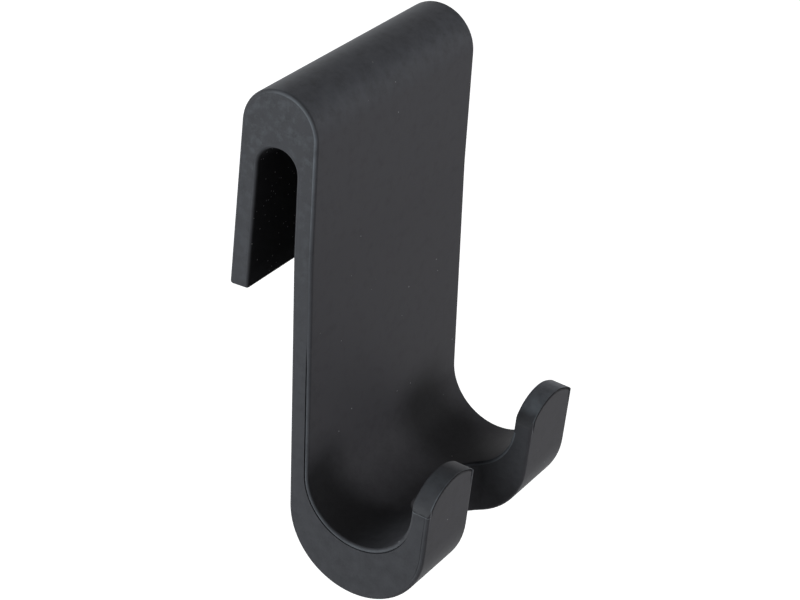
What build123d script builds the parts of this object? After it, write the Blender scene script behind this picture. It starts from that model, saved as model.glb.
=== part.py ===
import os
from math import cos, radians, sin, tan

from build123d import *

# A double hook for a glass shower screen or a thin door, moulded in one piece. A clip hangs
# over the panel's top edge, a leg runs down the panel, and a deep cradle ends in two prongs.
# Millimetres. X runs along the panel, -Y points away from it on the hook's side, +Z is up.
# The origin is at mid width, on the back of the leg, level with the roof of the slot.

# The moulding as a whole
hook_width = 50.0
leg_wall = 3.9
edge_round = 0.6

# The clip: a slot for the panel's edge, between the leg and a shorter rear leg
slot_width = 7.8
clip_length = 18.65     # from the slot's roof down to the bend in the leg
clip_lean = 1.6         # degrees that the clip tips forward above the bend
bend_round = 60.0       # radius of that bend, on the leg's front
rear_wall = 3.9
rear_drop = 28.0        # from the slot's roof down to the rear leg's foot
rear_splay = 2.8        # degrees that the slot opens towards its mouth
roof_thickness = 10.7

# The cradle below the leg, and its two prongs
cradle_radius = 10.65
cradle_drop = 60.85     # from the slot's roof down to the cradle's centre
floor_thickness = 10.7
prong_wall = 3.6
prong_lean = 4.8        # degrees that the prongs lean away from the leg
prong_width = 14.75
prong_rise = 6.6        # along a prong, from the cradle's centre to the top of its crown
crown_rise = 5.9        # along a prong, from the ends of its crown's oval up to the top
crown_overhang = 0.15   # that the crown's oval is wider than the prong at each side
notch_start = 15.0      # from the leg's back to the end of the notch between the prongs
notch_corner = 4.5


def touching_radius(face, level, leaning_face, lean):
    """Radius of the round that touches an upright face, a level and a face that leans away."""
    return (leaning_face + face * cos(lean) - level * sin(lean)) / (1 + cos(lean) - sin(lean))


def along_lean(start, level, lean_degrees):
    """The point at a level on the line through start that leans forward as it goes up."""
    return Vector(start.X + (level - start.Y) * tan(radians(lean_degrees)), level)


def on_clip(forward, up):
    """A point of the side view, given along the clip's own leaning axes from the bend."""
    return bend + Vector(forward, up).rotate(Axis.Z, -clip_lean)


# The side view has the forward direction, -Y, to its right and +Z up.
side_view = Plane(origin=(0, 0, 0), x_dir=(0, -1, 0), z_dir=(-1, 0, 0))

# The clip leans about the bend, which is as far down as brings the slot's roof to the origin.
slot_radius = slot_width / 2
clip_tilt = radians(clip_lean)
bend = Vector(0, -clip_length * cos(clip_tilt) - slot_radius * sin(clip_tilt))
front_bend = Vector(leg_wall, bend.Y - leg_wall * tan(clip_tilt / 2))

# The round head over the slot touches the leg's front and the rear leg's back.
rear_tilt = radians(rear_splay)
roof_centre_up = clip_length - slot_radius
rear_face = slot_radius * (1 + cos(rear_tilt)) + roof_centre_up * sin(rear_tilt) + rear_wall
head_top = clip_length + roof_thickness
head_radius = touching_radius(leg_wall, head_top, rear_face, rear_tilt)

# The round under the cradle touches the leg's back and the prongs' front.
prong_tilt = radians(prong_lean)
cradle_centre = Vector(leg_wall + cradle_radius, -cradle_drop)
cradle_to_front = cradle_radius + prong_wall
prong_face = cradle_centre.X * cos(prong_tilt) - cradle_centre.Y * sin(prong_tilt) + cradle_to_front
underside = cradle_centre.Y - cradle_radius - floor_thickness
under_radius = touching_radius(0, -underside, prong_face, prong_tilt)

# The prongs are cut from longer stock. Their own plane lies across the cradle's centre, with
# its Y up along a prong and its Z through the prong's wall.
prong_plane = Plane(
    origin=(0, -cradle_centre.X, cradle_centre.Y),
    x_dir=(1, 0, 0),
    z_dir=(0, -cos(prong_tilt), -sin(prong_tilt)),
)
stock_rise = prong_rise + prong_wall
prong_middle = (hook_width - prong_width) / 2
crown_half = prong_width / 2 + crown_overhang
notch_width = hook_width - 2 * prong_width

with BuildPart() as double_hook:
    # The section is the same all along the hook's width.
    with BuildSketch(side_view):
        with BuildLine():
            roof_centre = on_clip(-slot_radius, roof_centre_up)
            head_centre = on_clip(leg_wall - head_radius, head_top - head_radius)
            under_centre = (under_radius, underside + under_radius)
            roof = CenterArc(roof_centre, slot_radius, -clip_lean, 180 - rear_splay)
            head = CenterArc(head_centre, head_radius, -clip_lean, 180 - rear_splay)
            cradle = CenterArc(cradle_centre, cradle_radius, 180, 180 - prong_lean)
            under = CenterArc(under_centre, under_radius, 180, 180 - prong_lean)

            foot_front = along_lean(roof @ 1, -rear_drop, clip_lean + rear_splay)
            foot_back = along_lean(head @ 1, -rear_drop, clip_lean + rear_splay)
            Polyline(roof @ 1, foot_front, foot_back, head @ 1)

            stock_back = cradle @ 1 + Vector(0, stock_rise).rotate(Axis.Z, -prong_lean)
            stock_front = stock_back + Vector(prong_wall, 0).rotate(Axis.Z, -prong_lean)
            Polyline(cradle @ 1, stock_back, stock_front, under @ 1)

            FilletPolyline(head @ 0, front_bend, cradle @ 0, radius=bend_round)
            FilletPolyline(roof @ 0, bend, under @ 0, radius=bend_round + leg_wall)
        make_face()
    extrude(amount=hook_width / 2, both=True)
    section_reach = -double_hook.part.bounding_box().min.Y

    # The notch splits the front of the cradle into two prongs.
    with BuildSketch(Plane.XY.offset(underside)) as notch:
        with Locations((0, -notch_start)):
            Rectangle(notch_width, section_reach, align=(Align.CENTER, Align.MAX))
        fillet(notch.vertices().group_by(Axis.Y)[-1], radius=notch_corner)
    extrude(amount=-underside, mode=Mode.SUBTRACT)

    # The long edges are rounded alike. The edges left out are those where one face runs smoothly
    # into the next, across the width or up the ends of the notch's walls, and the stock's ends.
    across = double_hook.edges().filter_by(Axis.X)
    upright = double_hook.edges().filter_by(Axis.Z)
    stock_ends = double_hook.edges().filter_by(Axis((0, 0, 0), prong_plane.z_dir))
    foot = double_hook.faces().filter_by(Axis.Z).edges().filter_by(Axis.X)
    fillet(double_hook.edges() - across - upright - stock_ends + foot, radius=edge_round)

    # Each prong ends square in a crown with crisp rims, half an oval across its width. The oval is
    # a little wider than the prong, so it meets the prong's sides at a slight crease.
    crown_foot = prong_rise - crown_rise
    with BuildSketch(prong_plane):
        with Locations((-prong_middle, crown_foot), (prong_middle, crown_foot)):
            Rectangle(2 * crown_half, stock_rise + crown_rise, align=(Align.CENTER, Align.MIN))
            Ellipse(crown_half, crown_rise, mode=Mode.SUBTRACT)
    extrude(amount=section_reach, mode=Mode.SUBTRACT)
double_hook.part.label = "double_hook"

os.makedirs("parts", exist_ok=True)
export_step(double_hook.part, "parts/double_hook.step")
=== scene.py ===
import math

import bmesh
import bpy
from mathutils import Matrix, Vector


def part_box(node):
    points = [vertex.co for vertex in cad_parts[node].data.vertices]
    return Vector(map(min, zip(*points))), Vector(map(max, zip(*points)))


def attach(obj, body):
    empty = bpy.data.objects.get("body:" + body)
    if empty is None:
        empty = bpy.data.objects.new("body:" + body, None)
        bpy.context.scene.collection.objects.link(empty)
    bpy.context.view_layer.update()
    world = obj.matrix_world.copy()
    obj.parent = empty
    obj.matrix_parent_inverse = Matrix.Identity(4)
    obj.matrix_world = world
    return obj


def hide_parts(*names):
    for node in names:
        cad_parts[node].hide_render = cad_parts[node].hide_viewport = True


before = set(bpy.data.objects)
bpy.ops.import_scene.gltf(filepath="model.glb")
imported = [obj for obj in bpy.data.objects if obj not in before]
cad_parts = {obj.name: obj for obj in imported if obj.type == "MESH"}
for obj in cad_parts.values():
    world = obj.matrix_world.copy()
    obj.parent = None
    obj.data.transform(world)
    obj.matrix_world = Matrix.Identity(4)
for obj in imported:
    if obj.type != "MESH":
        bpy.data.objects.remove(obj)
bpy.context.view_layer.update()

# The double hook is one soft moulding of matt black silicone. A clip hangs over a panel's top
# edge, a leg runs down the panel, and the cradle's front is split into two crowned prongs.
# Where the mould's halves met, a fine parting line runs round both sides, just inside the edge.
half_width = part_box("double_hook")[1].x
edge_round = 0.0006
leg_front = -0.0039
cradle_centre = Vector((0, -0.01455, -0.06085))
cradle_radius = 0.01065
merge_distance = 0.0000001
flat_turn = math.radians(0.05)      # faces that turn less than this become one
straight_on = 0.999                 # cosine, for a face that looks straight along a direction
side_area = 0.0003                  # only the two sides are larger flat faces across X
long_edge = 0.003
edge_step = 0.0015

skin = bmesh.new()
skin.from_mesh(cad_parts["double_hook"].data)
wear_and_painted_light = skin.verts.layers.float.new("wear_and_painted_light")
painted_shade = skin.verts.layers.float.new("painted_shade")
sheltered = skin.verts.layers.float.new("sheltered")
bmesh.ops.remove_doubles(skin, verts=skin.verts[:], dist=merge_distance)
bmesh.ops.dissolve_limit(skin, angle_limit=flat_turn, verts=skin.verts[:], edges=skin.edges[:])
skin.normal_update()
sides = [
    face for face in skin.faces
    if abs(face.normal.x) > straight_on and face.calc_area() > side_area
]


def split_long_edges(faces):
    """Puts vertices along the long edges of these faces."""
    for edge in [edge for face in faces for edge in face.edges]:
        length = edge.calc_length()
        if length > long_edge:
            bmesh.ops.subdivide_edges(skin, edges=[edge], cuts=int(length / edge_step))


split_long_edges(sides)

# Each crown ends higher at +X, in a crisp corner, and the near one came out of the mould askew.
# A fine seam runs just under each front rim.
crown_start = Vector((0, -0.02, -0.0605))   # the crowns are all further forward and higher
prong_lean = math.radians(4.8)
prong_wall = 0.0036
prong_middle = 0.017625
prong_half = 0.007375
near_skew = math.tan(math.radians(2.7))
corner_start = 0.0035                       # from a prong's middle to where its crown rises
corner_lift = 0.0012
rim_turn = math.radians(12.5)               # a crown's crisp rims turn more than this
rim_width = 0.0003                          # of the strip along a rim that gets the brightest painted highlight
front_area = 0.00005                        # a prong's front is larger than this
seam_width = 0.0006
seam_depth = 0.0003
up_prong = Vector((0, -math.sin(prong_lean), math.cos(prong_lean)))
off_front = Vector((0, -math.cos(prong_lean), -math.sin(prong_lean)))


def part_way(value, start, end):
    """How far a value has come from the start to the end, as a share from 0 to 1."""
    return min(max((value - start) / (end - start), 0), 1)


def on_crown(vert):
    """Whether a vertex is on one of the two crowns."""
    return vert.co.y < crown_start.y and vert.co.z > crown_start.z


def from_prong_middle(vert):
    """How far a vertex is from the middle of its own prong, towards +X."""
    return vert.co.x - math.copysign(prong_middle, vert.co.x)


for vert in filter(on_crown, skin.verts):
    skew = near_skew * from_prong_middle(vert) if vert.co.x < 0 else 0
    to_corner = part_way(from_prong_middle(vert), corner_start, prong_half)
    vert.co += up_prong * (skew + corner_lift * to_corner ** 2)


def corners(faces):
    """The vertices of these faces."""
    return {vert for face in faces for vert in face.verts}


def framed(faces, width):
    """Insets these faces by a width, and returns the vertices left round them."""
    border = bmesh.ops.inset_region(
        skin, faces=faces, thickness=width, depth=0, use_even_offset=True, use_boundary=True
    )["faces"]
    return corners(border) - corners(faces)


skin.normal_update()
fronts = [
    face for face in skin.faces
    if face.normal.dot(off_front) > straight_on and face.calc_area() > front_area
    and any(on_crown(vert) for vert in face.verts)
]
split_long_edges(fronts)
prong_face = max(vert.co.dot(off_front) for vert in skin.verts)
for depth in (rim_width, prong_wall - rim_width):
    crowns = [face for face in skin.faces if all(on_crown(vert) for vert in face.verts)]
    crown_edges = {edge for face in crowns for edge in face.edges}
    bmesh.ops.bisect_plane(
        skin,
        geom=crowns + list(crown_edges) + list(corners(crowns)),
        dist=merge_distance,
        plane_co=off_front * (prong_face - depth),
        plane_no=off_front,
    )
front_rims = {vert for vert in framed(fronts, seam_width / 2) if on_crown(vert)}
seam = {vert for vert in framed(fronts, seam_width / 2) if on_crown(vert)}
for vert in seam:
    vert.co -= off_front * seam_depth

# The parting line is deepest along the cradle and the leg's lower front, and faint elsewhere.
# A narrow flat lip lies between it and the edge's round.
lip_width = 0.00003
line_width = 0.00024
line_depth = 0.0005
faint_line = 0.03           # share of that depth where the mould closed well
prong_line = 0.12           # share of it along the prongs' fronts
prong_front = 0.0323        # along the way that a prong faces, to just short of its front
leg_line_reach = 0.002      # from the leg's front to beyond the line that follows it
leg_line_low = 0.014        # above the cradle's centre, from where the line fades
leg_line_high = 0.026
cradle_line_reach = 0.0125  # from the cradle's centre to beyond the line that follows it
cradle_line_start = 115     # degrees round the cradle from the leg, from where the line fades
cradle_line_end = 155


def line_strength(place):
    """How deep the parting line is at a place, as a share of its full depth."""
    from_centre = place - cradle_centre
    from_centre.x = 0
    if place.dot(off_front) > prong_front:
        return prong_line
    if from_centre.z > 0 and abs(place.y - leg_front) < leg_line_reach:
        fade = part_way(from_centre.z, leg_line_low, leg_line_high)
    elif from_centre.z <= 0 and from_centre.length < cradle_line_reach:
        turn = math.degrees(math.atan2(-from_centre.z, from_centre.y))
        fade = part_way(turn, cradle_line_start, cradle_line_end)
    else:
        fade = 1
    return 1 - (1 - faint_line) * fade


lip = framed(sides, lip_width)
line_edge = framed(sides, line_width / 2)
groove = framed(sides, line_width / 2)
for vert in groove:
    vert.co.x = math.copysign(half_width - line_depth * line_strength(vert.co), vert.co.x)
for face in skin.faces:
    face.smooth = True
skin.normal_update()
line_loops = (line_edge, groove, corners(sides))
for edge in skin.edges:
    on_line = any(loop.issuperset(edge.verts) for loop in line_loops)
    on_rim = all(on_crown(vert) for vert in edge.verts) and edge.calc_face_angle(0) > rim_turn
    edge.smooth = not on_line and not on_rim

# The head is paler in blotches, partly from handling and partly as painted light. The leg's upper
# edge, the lip by the parting line and the crowns' front rims get painted highlights, and the crowns
# are painted paler as light. The parting line, the seams and the far crown's -X end get painted
# shade, and the slot is rougher and painted darker, as shade, than the faces around it.
slot_low = Vector((0, -0.0008, -0.0276))
slot_high = Vector((0, 0.0102, 0.0002))
leg_middle = -0.0025        # about halfway through the leg, short of the slot
leg_highlight_end = -0.024        # down the leg's front, to where its edge gets no painted highlight
head_highlight_back = 0.006       # over the head, to where its edge gets no painted highlight
head_highlight_front = 0
head_foot = 0.002
head_top = 0.008
head_wear_and_light = 0.45
edge_highlight_level = 0.55
lip_highlight_level = 0.3
rim_highlight_level = 0.8
near_crown_light_level = 0.3
near_crown_light_reach = 0.006     # from the near crown's -X end to where its painted light is strongest
far_crown_light_level = 0.82
far_crown_foot = 0.001      # from the far crown's -X end, the stretch painted dark as shade
far_crown_light_reach = 0.0022
far_crown_foot_shade = 0.35
for vert in skin.verts:
    place = vert.co
    on_round = part_way(abs(place.x), half_width - edge_round, half_width)
    on_outer_round = part_way(abs(place.x), half_width - edge_round / 2, half_width)
    if place.z > slot_high.z + edge_round:
        in_front = part_way(place.y, head_highlight_back, head_highlight_front)
    else:
        in_front = place.y < leg_middle
    # The parting line's groove and the seams are painted in shade, and so is the far crown's -X end.
    if vert in groove:
        vert[painted_shade] = line_strength(place)
    elif vert in seam:
        vert[painted_shade] = 1
    # The front rims get a painted highlight, and the crowns painted light from above.
    elif vert in front_rims:
        vert[wear_and_painted_light] = rim_highlight_level
    elif all(on_crown(corner) for corner in corners(vert.link_faces)):
        along_crown = from_prong_middle(vert) + prong_half
        if place.x < 0:
            vert[wear_and_painted_light] = near_crown_light_level * part_way(along_crown, 0, near_crown_light_reach)
        else:
            vert[wear_and_painted_light] = far_crown_light_level * part_way(along_crown, far_crown_foot, far_crown_light_reach)
            vert[painted_shade] = far_crown_foot_shade * part_way(along_crown, far_crown_foot, 0)
    # The lip by the parting line and the edges' outer rounds get painted highlights.
    elif vert in lip or vert in line_edge or 0 < on_outer_round < 1:
        lip_highlight = lip_highlight_level * (line_strength(place) - faint_line)
        edge_highlight = edge_highlight_level * part_way(place.z, leg_highlight_end, 0) * in_front
        vert[wear_and_painted_light] = max(lip_highlight, edge_highlight) * on_outer_round
    # The head's top is paler, partly from wear and partly as painted light.
    elif on_round < 1:
        vert[wear_and_painted_light] = head_wear_and_light * part_way(place.z, head_foot, head_top) * (1 - on_round)
    # The slot's faces are marked for painted shade, more roughness and more dust.
    if slot_low.y < place.y < slot_high.y and slot_low.z < place.z < slot_high.z:
        vert[sheltered] = 1 - on_round

hook_mesh = bpy.data.meshes.new("double_hook_skin")
skin.to_mesh(hook_mesh)
hook = bpy.data.objects.new("double_hook_skin", hook_mesh)
bpy.context.scene.collection.objects.link(hook)
even_shading = hook.modifiers.new("even_shading", "WEIGHTED_NORMAL")
even_shading.keep_sharp = True


class Field:
    """An output in a node tree. Arithmetic on it adds Math nodes, and node() adds any other node."""

    def __init__(self, tree, output=None):
        self.tree = tree
        self.output = output

    def node(self, kind, settings, inputs, output=0):
        """Adds a node: its settings are set first, then its inputs' values or links."""
        made = self.tree.nodes.new(kind)
        for name, value in settings.items():
            setattr(made, name, value)
        for name, value in inputs.items():
            if isinstance(value, Field):
                self.tree.links.new(value.output, made.inputs[name])
            else:
                made.inputs[name].default_value = value
        return Field(self.tree, made.outputs[output] if made.outputs else None)

    def maths(self, operation, first, second):
        """Adds a Math node for two values."""
        return self.node("ShaderNodeMath", {"operation": operation}, {0: first, 1: second})

    def __add__(self, other):
        return self.maths("ADD", self, other)

    __radd__ = __add__

    def __sub__(self, other):
        return self.maths("SUBTRACT", self, other)

    def __rsub__(self, other):
        return self.maths("SUBTRACT", other, self)

    def __mul__(self, other):
        return self.maths("MULTIPLY", self, other)

    __rmul__ = __mul__

    def __gt__(self, other):
        return self.maths("GREATER_THAN", self, other)

    def __lt__(self, other):
        return self.maths("LESS_THAN", self, other)

    def __abs__(self):
        return self.maths("ABSOLUTE", self, 0)


def climb(value, low, high):
    """0 up to the low value, 1 from the high value on, and in proportion between them."""
    return value.node("ShaderNodeMapRange", {}, {"Value": value, "From Min": low, "From Max": high})


def between(value, low, high):
    """1 where the value lies between the two others, and 0 elsewhere."""
    return (value > low) * (value < high)


def mixed(share, first, second):
    """A colour that goes from the first to the second with the share."""
    colour_a, colour_b, colour_result = 6, 7, 2     # the node's sockets for colours
    inputs = {"Factor": share, colour_a: first, colour_b: second}
    return share.node("ShaderNodeMix", {"data_type": "RGBA"}, inputs, colour_result)


def new_finish(name):
    """A new material with an empty node tree, and the tree as a Field to add nodes to."""
    material = bpy.data.materials.new(name)
    material.use_nodes = True
    material.node_tree.nodes.clear()
    return material, Field(material.node_tree)


silicone, tree = new_finish("matt_black_silicone")
spot = tree.node("ShaderNodeTexCoord", {}, {}, "Object")
sideways = tree.node("ShaderNodeSeparateXYZ", {}, {0: spot}, "X")
backward = tree.node("ShaderNodeSeparateXYZ", {}, {0: spot}, "Y")
height = tree.node("ShaderNodeSeparateXYZ", {}, {0: spot}, "Z")


def noise(scale, detail, roughness):
    """Noise all through the silicone, from 0 to 1."""
    inputs = {"Vector": spot, "Scale": scale, "Detail": detail, "Roughness": roughness}
    return tree.node("ShaderNodeTexNoise", {}, inputs, "Fac")


def held(name):
    """The value of this name that the mesh's vertices hold."""
    return tree.node("ShaderNodeAttribute", {"attribute_name": name}, {}, "Fac")


# The body is mottled and finely grained, and painted shade makes it a little darker towards its low
# end.
black = (0, 0, 0, 1)
body_black = (0.0445, 0.0438, 0.049, 1)
least_tone = 0.6
mottle_tone = 0.65
grain_tone = 0.15
low_shade = 0.15
low_shade_start = -0.055
low_shade_full = -0.085
mottle = noise(scale=450, detail=4, roughness=0.65)
grain = noise(scale=2600, detail=2, roughness=0.5)
low_end = climb(height, low_shade_start, low_shade_full)
tone = least_tone + mottle * mottle_tone + grain * grain_tone - low_end * low_shade
colour = mixed(tone, black, body_black)

# Pale places are pale in blotches: the head partly from wear and partly as painted light, the rest
# as painted light and painted highlights. On the far half, the cradle's rim along the notch gets
# painted light too, and the crease where the near crown meets its outer side gets a painted
# highlight under it and painted shade over it.
pale_grey = (0.153, 0.164, 0.185, 1)
least_paling = 0.1
mottle_paling = 1.4
notch_rim_fade = 0.0003
notch_rim_width = 0.00055
notch_rim_gap = 0.0008      # short of the outer side
notch_rim_drop = 0.001      # below the cradle's centre
notch_rim_light_level = 0.55
crease_rise = 0.0015        # along the prong, above the cradle's centre
crease_reach = 0.0007       # in from the outer side
crease_highlight_width = 0.00015
crease_highlight_noise = (0.35, 0.5)      # levels of the scuff noise, from where it is bare to full
crease_shade_width = 0.0003
crease_shade_noise = (0.4, 0.55)
crease_share = 0.6
scuff = noise(scale=650, detail=3, roughness=0.6)
section = tree.node("ShaderNodeVectorMath", {"operation": "MULTIPLY"}, {0: spot, 1: (0, 1, 1)})
from_cradle = tree.node(
    "ShaderNodeVectorMath", {"operation": "DISTANCE"}, {0: section, 1: cradle_centre}, "Value"
)
# The cradle's rim along the notch is painted paler as light.
notch_rim = (
    climb(from_cradle, cradle_radius, cradle_radius + notch_rim_fade)
    * (from_cradle < cradle_radius + notch_rim_width)
    * between(sideways, 0, half_width - notch_rim_gap)
    * (height < cradle_centre.z - notch_rim_drop)
)
up_crown = tree.node(
    "ShaderNodeVectorMath", {"operation": "DOT_PRODUCT"}, {0: spot, 1: up_prong}, "Value"
)
crease = cradle_centre.dot(up_prong) + crease_rise
by_crease = (sideways < crease_reach - half_width) * (backward < crown_start.y) * crease_share
under_crease = between(up_crown, crease - crease_highlight_width, crease)
over_crease = between(up_crown, crease, crease + crease_shade_width)
# A painted highlight runs under the near crown's crease, and painted shade over it.
crease_highlight = by_crease * under_crease * climb(scuff, *crease_highlight_noise)
crease_shade = by_crease * over_crease * climb(scuff, *crease_shade_noise)
pale_share = (held("wear_and_painted_light") + notch_rim * notch_rim_light_level + crease_highlight) * (least_paling + mottle * mottle_paling)
colour = mixed(pale_share, colour, pale_grey)

# The upper part of both flat sides is scuffed in patches.
side_skin = 0.00001
scuffs_low = -0.05
scuffs_high = 0
scuff_noise = (0.48, 0.75)
scuff_share = 0.16
on_side = abs(sideways) > half_width - side_skin
scuffs = on_side * climb(height, scuffs_low, scuffs_high) * climb(scuff, *scuff_noise)
colour = mixed(scuffs * scuff_share, colour, pale_grey)

# The slot is painted darker as shade, and this painted shade fades out below it on the leg's back.
shelter_end = -0.034
shelter_full = -0.024
shelter_shade = 0.6
shelter = held("sheltered") * climb(height, shelter_end, shelter_full)
colour = mixed(shelter * shelter_shade, colour, black)

# The parting line, the seams, the far crown's -X end and the crease's top get painted shade.
# Dust lies everywhere as rare flecks, more in the slot.
least_shade_share = 0.4
mottle_shade_share = 1.1
dust_grey = (0.3, 0.3, 0.31, 1)
speck_size = 0.2
speck_rarity = 0.993
slot_specks = 0.15
speck_share = 0.6
speck_grid = {"Vector": spot, "Scale": 1500}
speck_distance = tree.node("ShaderNodeTexVoronoi", {}, speck_grid, "Distance")
speck_colour = tree.node("ShaderNodeTexVoronoi", {}, speck_grid, "Color")
speck_chance = tree.node("ShaderNodeSeparateColor", {}, {0: speck_colour})
shade_share = (held("painted_shade") + crease_shade) * (least_shade_share + mottle * mottle_shade_share)
colour = mixed(shade_share, colour, black)
specks = (speck_distance < speck_size) * (speck_chance > speck_rarity - shelter * slot_specks)
colour = mixed(specks * speck_share, colour, dust_grey)

# The silicone is matt, and rougher in the slot. Its grain can be felt as a fine bump.
body_roughness = 0.48
mottle_roughness = 0.08
slot_roughness = 0.4
bump = tree.node(
    "ShaderNodeBump", {}, {"Height": grain, "Strength": 0.3, "Distance": 0.00003}, "Normal"
)
shader = tree.node(
    "ShaderNodeBsdfPrincipled",
    {},
    {
        "Base Color": colour,
        "Roughness": body_roughness + mottle * mottle_roughness + shelter * slot_roughness,
        "Specular IOR Level": 0.06,
        "Normal": bump,
    },
)
tree.node("ShaderNodeOutputMaterial", {}, {"Surface": shader})
hook_mesh.materials.append(silicone)
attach(hook, "root")
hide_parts("double_hook")

# The floor is a plain pale studio sheet of paper, laid flat and lit up from below. The hook
# hangs clear above it, as it does on the edge of a panel.
floor_drop = 0.16
floor_half = 0.6
floor_glow = 0.75
sheet_white = (0.85, 0.85, 0.85, 1)

floor_mesh = bpy.data.meshes.new("floor")
ground = bmesh.new()
bmesh.ops.create_grid(ground, x_segments=1, y_segments=1, size=floor_half)
bmesh.ops.translate(ground, verts=ground.verts, vec=(0, 0, -floor_drop))
ground.to_mesh(floor_mesh)
floor = bpy.data.objects.new("floor", floor_mesh)
bpy.context.scene.collection.objects.link(floor)


def seen_rays(tree):
    """1 for the rays that see the studio itself or mirrored, 0 for those that light the hook."""
    camera = tree.node("ShaderNodeLightPath", {}, {}, "Is Camera Ray")
    glossy = tree.node("ShaderNodeLightPath", {}, {}, "Is Glossy Ray")
    through = tree.node("ShaderNodeLightPath", {}, {}, "Is Transmission Ray")
    return tree.maths("MAXIMUM", tree.maths("MAXIMUM", camera, glossy), through)


paper, paper_tree = new_finish("pale_sheet")
sheet = paper_tree.node(
    "ShaderNodeBsdfPrincipled",
    {},
    {"Base Color": sheet_white, "Roughness": 1, "Specular IOR Level": 0},
)
glow = paper_tree.node("ShaderNodeEmission", {}, {"Strength": seen_rays(paper_tree) * floor_glow})
both = paper_tree.node("ShaderNodeAddShader", {}, {0: sheet, 1: glow})
paper_tree.node("ShaderNodeOutputMaterial", {}, {"Surface": both})
floor_mesh.materials.append(paper)

# The studio is white all round. Large round softboxes light the hook from low at its side and
# front, with weaker ones further round.
lit_middle = Vector((0, -0.008, -0.04))
softbox_distance = 1.0
softbox_size = 0.4
plain_power = (math.pi * softbox_distance) ** 2     # at which a facing colour looks as written
white = (1, 1, 1)

world = bpy.data.worlds.new("studio")
bpy.context.scene.world = world
world.use_nodes = True
world.node_tree.nodes.clear()
studio_tree = Field(world.node_tree)
backdrop = studio_tree.node(
    "ShaderNodeBackground", {}, {"Color": (*white, 1), "Strength": seen_rays(studio_tree)}
)
studio_tree.node("ShaderNodeOutputWorld", {}, {"Surface": backdrop})


def softbox(name, turn, lift, level, tint=white):
    """A round softbox that faces the hook, from degrees round it from +X and degrees up."""
    lamp = bpy.data.lights.new(name, "AREA")
    lamp.shape = "DISK"
    lamp.size = softbox_size
    lamp.energy = plain_power * level
    lamp.color = tint
    flat = math.cos(math.radians(lift))
    outward = Vector((
        flat * math.cos(math.radians(turn)),
        flat * math.sin(math.radians(turn)),
        math.sin(math.radians(lift)),
    ))
    box = bpy.data.objects.new(name, lamp)
    box.location = lit_middle + softbox_distance * outward
    box.rotation_euler = outward.to_track_quat("Z", "Y").to_euler()
    bpy.context.scene.collection.objects.link(box)


softbox("side_softbox", turn=149, lift=5, level=1.17, tint=(0.93, 1, 1))
softbox("front_softbox", turn=282, lift=5, level=0.445)
softbox("far_softbox", turn=330, lift=8, level=0.09)
softbox("high_front_softbox", turn=270, lift=30, level=0.05)
softbox("high_back_softbox", turn=60, lift=40, level=0.26)

# The camera looks down on the hook's near side and front, from under half a metre away.
# A slight roll leans the hook's leg in the picture.
camera_aim = Vector((0.001542, -0.005252, -0.036985))
camera_distance = 0.43719
camera_drop = math.radians(28.22)           # that it looks below the level
camera_turn = math.radians(-58.677)         # round from looking along +Y
camera_roll = math.radians(2.243)

camera_data = bpy.data.cameras.new("camera")
camera_data.lens = 110.05
camera_data.sensor_width = 36
camera_data.clip_start = 0.01
camera = bpy.data.objects.new("camera", camera_data)
camera.rotation_euler = (math.pi / 2 - camera_drop, 0, camera_turn)
camera.rotation_euler.rotate_axis("Z", camera_roll)
camera.location = camera_aim + camera.rotation_euler.to_matrix() @ Vector((0, 0, camera_distance))
bpy.context.scene.collection.objects.link(camera)
bpy.context.scene.camera = camera
bpy.context.scene.view_settings.view_transform = "Standard"
